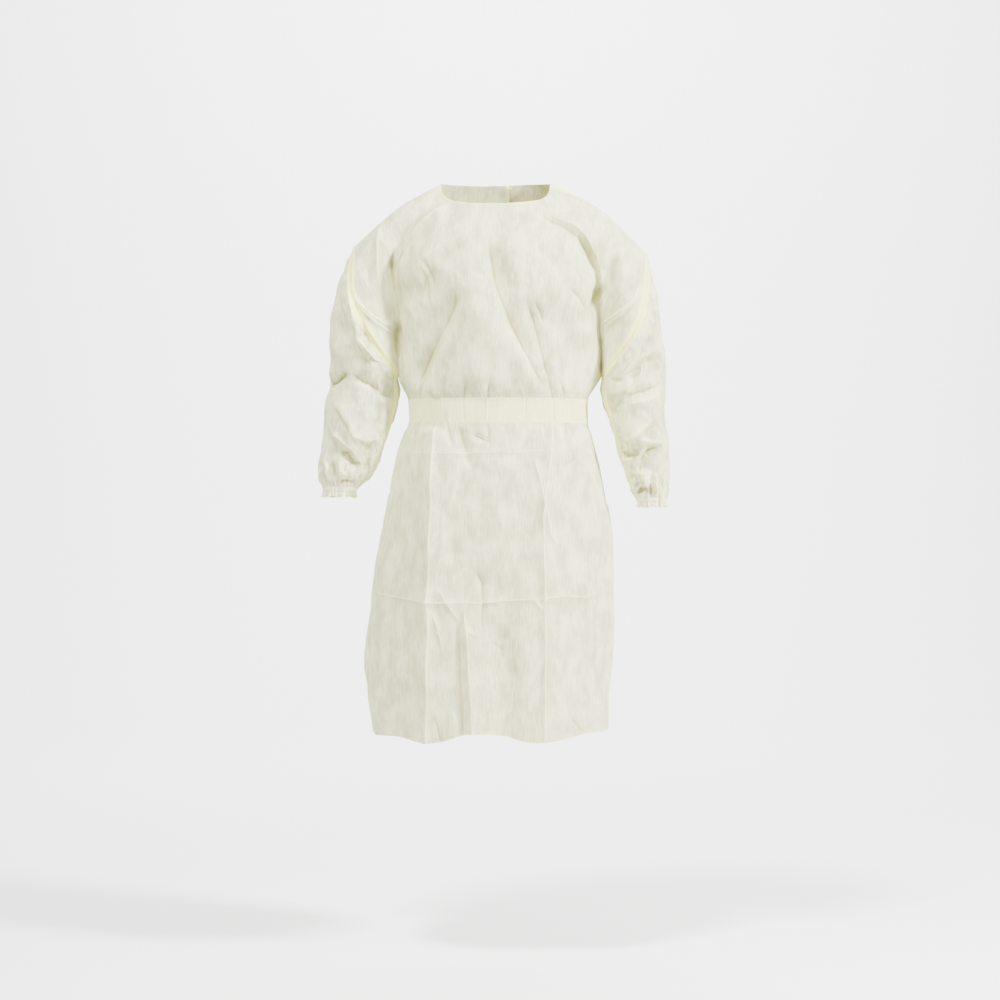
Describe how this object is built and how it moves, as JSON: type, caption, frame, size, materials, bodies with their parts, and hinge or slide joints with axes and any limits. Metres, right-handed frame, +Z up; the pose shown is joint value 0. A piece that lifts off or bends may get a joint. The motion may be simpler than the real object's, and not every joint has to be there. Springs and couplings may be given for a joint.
{
  "type": "cover gown",
  "caption": "Long-sleeved protective cover gown of thin pale yellow non-woven cloth, open down the back, with elastic cuffs and a waist tie, in the hollow shape it is worn in.",
  "frame": {"origin": "middle of the neck opening, at the height where the shoulder seams meet it, where the wearer's shoulders carry the gown", "axes": "+Z up, the wearer faces -Y, and the wearer's left is +X"},
  "size_m": [0.7171, 0.3433, 1.1375],
  "materials": {
    "cloth": "matt thin non-woven cloth that lets some light through",
    "belt": "matt non-woven cloth",
    "tab": "matt hook and loop tape"
  },
  "bodies": {
    "root": {"front": "cloth", "back_right": "cloth", "back_left": "cloth", "sleeve_right": "cloth", "sleeve_left": "cloth", "cuff_right": "cloth", "cuff_left": "cloth", "belt": "belt", "belt_knot": "belt", "belt_end_right": "belt", "belt_end_left": "belt", "neck_tab": "tab"}
  },
  "joints": []
}
